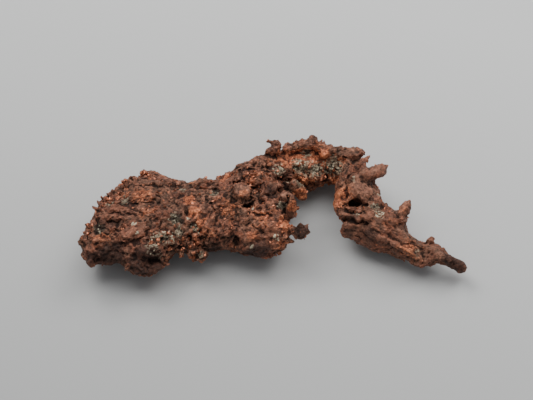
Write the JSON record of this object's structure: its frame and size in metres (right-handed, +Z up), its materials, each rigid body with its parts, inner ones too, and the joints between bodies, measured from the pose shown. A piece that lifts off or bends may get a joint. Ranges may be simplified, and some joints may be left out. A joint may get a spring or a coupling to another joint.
{
  "type": "native copper nugget",
  "caption": "Hackly native copper specimen: a flat lumpy slab and belly from which an arch turns down into a tapering arm, with prongs, knobs and pits.",
  "frame": {"origin": "on the table, under the middle of the nugget's box", "axes": "+X along the nugget from the slab to the tail's tip, +Y away from the observer, +Z up"},
  "size_m": [0.0918, 0.0398, 0.0168],
  "materials": {
    "native_copper": "rough, oxidised red-brown copper"
  },
  "bodies": {
    "root": {"copper_nugget": "native_copper"}
  },
  "joints": []
}
